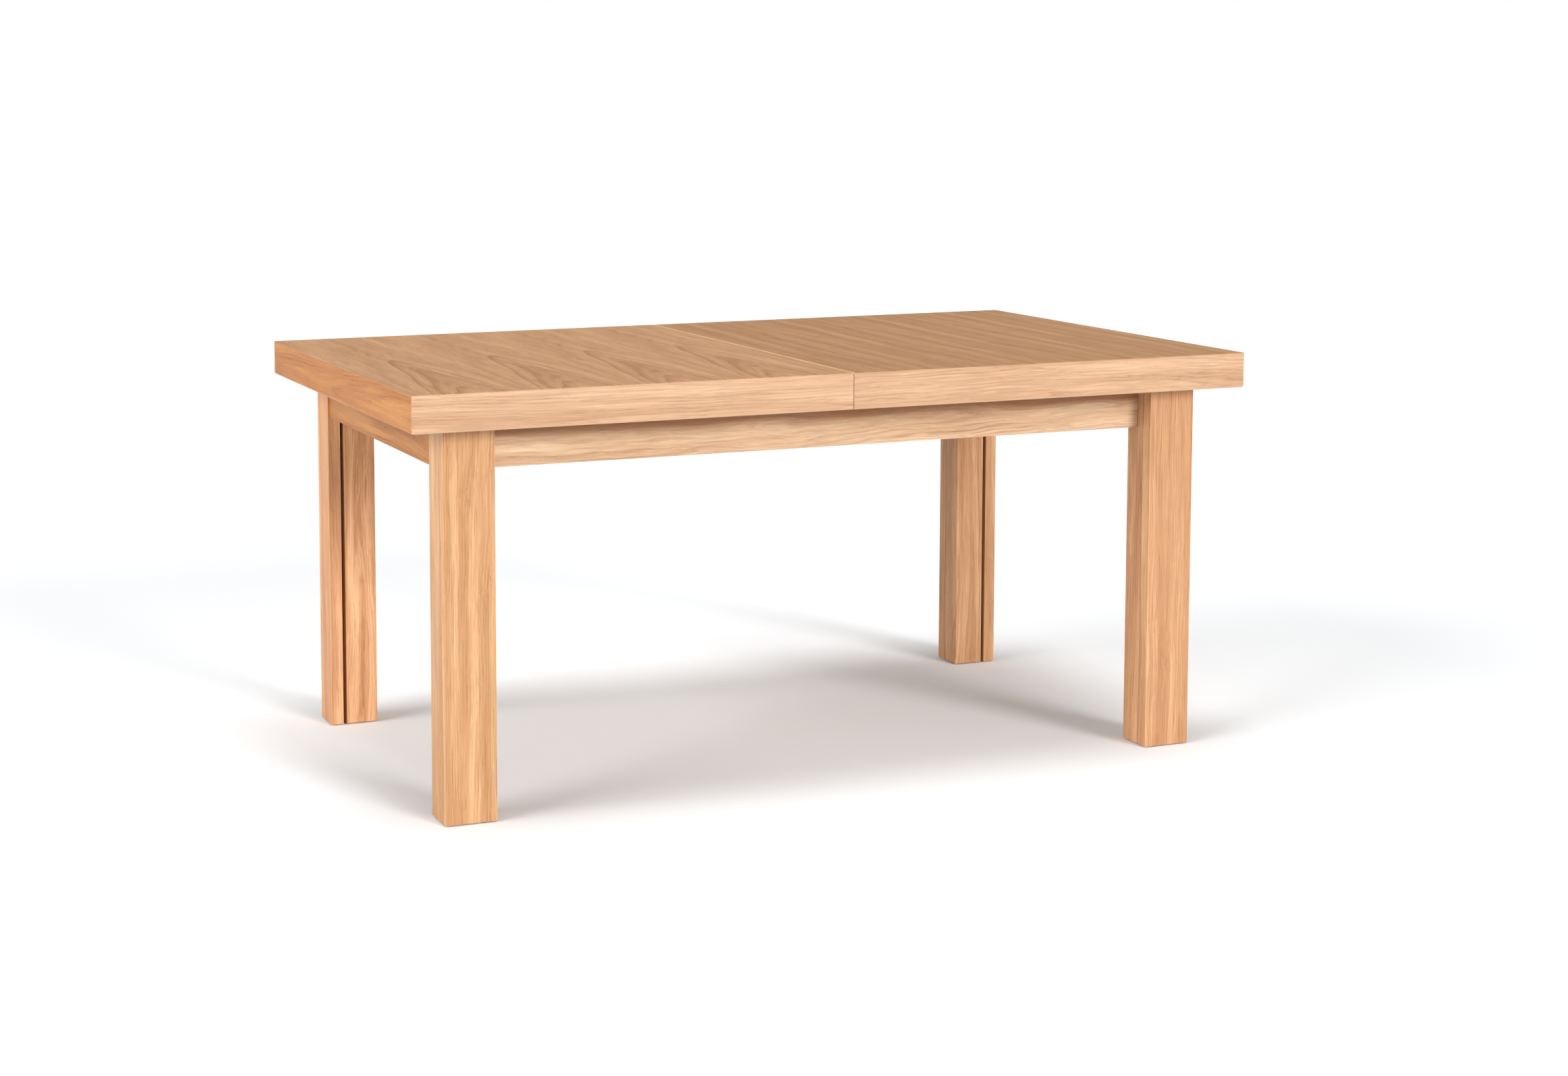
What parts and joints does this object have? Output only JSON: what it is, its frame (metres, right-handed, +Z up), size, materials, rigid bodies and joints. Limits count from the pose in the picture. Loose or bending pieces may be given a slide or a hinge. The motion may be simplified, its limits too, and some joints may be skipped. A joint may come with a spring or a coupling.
{
  "type": "extendable dining table",
  "caption": "rectangular oak dining table whose two half tops slide apart on a fixed inner frame, with split legs that part into posts and outer shells, and a spare leaf stored under the top",
  "frame": {"origin": "on the floor under the centre of the closed table", "axes": "+Z up; X along the table, so the halves part along -X and +X; Y across it, with the front long side at -Y"},
  "size_m": [1.6, 0.9, 0.74],
  "materials": {
    "oak": "oiled",
    "oak_veneer": "oiled",
    "oak_panel": "oiled",
    "beech": "plain",
    "steel": "satin",
    "zinc": "zinc plated",
    "nylon": "matte",
    "felt": "felt",
    "brass": "satin"
  },
  "bodies": {
    "frame": {"post_front_left": "oak", "post_front_right": "oak", "post_back_left": "oak", "post_back_right": "oak", "post_glides": "felt", "apron_front": "oak", "apron_back": "oak", "frame_dowels": "beech", "end_cross_rails": "oak", "leaf_bearers": "beech", "centre_rail": "beech", "guide_channels": "zinc", "frame_screws": "steel", "rack_guides": "nylon", "gear_axle": "steel", "leaf_panel": "oak_panel", "leaf_veneer": "oak_veneer", "leaf_edge_boards": "oak", "leaf_pins": "beech"},
    "pinion": {"pinion": "nylon"},
    "left_half": {"top_panel_left": "oak_panel", "top_veneer_left": "oak_veneer", "edge_board_front_left": "oak", "edge_board_back_left": "oak", "edge_board_end_left": "oak", "shell_face_front_left": "oak", "shell_side_front_left": "oak", "shell_face_back_left": "oak", "shell_side_back_left": "oak", "end_apron_left": "oak", "runners_left": "beech", "end_dowels_left": "beech", "slide_bars_left": "zinc", "rack_left": "steel", "shell_glides_left": "felt", "shell_plates_left": "steel", "screws_left": "steel", "catch_plates": "brass"},
    "right_half": {"top_panel_right": "oak_panel", "top_veneer_right": "oak_veneer", "edge_board_front_right": "oak", "edge_board_back_right": "oak", "edge_board_end_right": "oak", "shell_face_front_right": "oak", "shell_side_front_right": "oak", "shell_face_back_right": "oak", "shell_side_back_right": "oak", "end_apron_right": "oak", "runners_right": "beech", "end_dowels_right": "beech", "slide_bars_right": "zinc", "rack_right": "steel", "shell_glides_right": "felt", "shell_plates_right": "steel", "screws_right": "steel", "catch_keepers": "brass", "alignment_pins": "beech"},
    "catch_front": {"catch_lever_front": "brass"},
    "catch_back": {"catch_lever_back": "brass"}
  },
  "joints": [
    {"name": "left_slide", "type": "slide", "parent": "frame", "child": "left_half", "axis": [-1, 0, 0], "range_m": [0, 0.25]},
    {"name": "right_slide", "type": "slide", "parent": "frame", "child": "right_half", "axis": [1, 0, 0], "range_m": [0, 0.25]},
    {"name": "pinion_spin", "type": "hinge", "parent": "frame", "child": "pinion", "pos_m": [0, 0.2889, 0.629], "axis": [0, 0, 1], "range_deg": [0, 720]},
    {"name": "catch_front_turn", "type": "hinge", "parent": "left_half", "child": "catch_front", "pos_m": [-0.022, -0.3675, 0.712], "axis": [0, 0, 1], "range_deg": [0, 90]},
    {"name": "catch_back_turn", "type": "hinge", "parent": "left_half", "child": "catch_back", "pos_m": [-0.022, 0.3675, 0.712], "axis": [0, 0, -1], "range_deg": [0, 90]}
  ],
  "couplings": [
    {"joint": "right_slide", "follows": "left_slide", "ratio": 1},
    {"joint": "pinion_spin", "follows": "left_slide", "rad_per_m": 50}
  ]
}
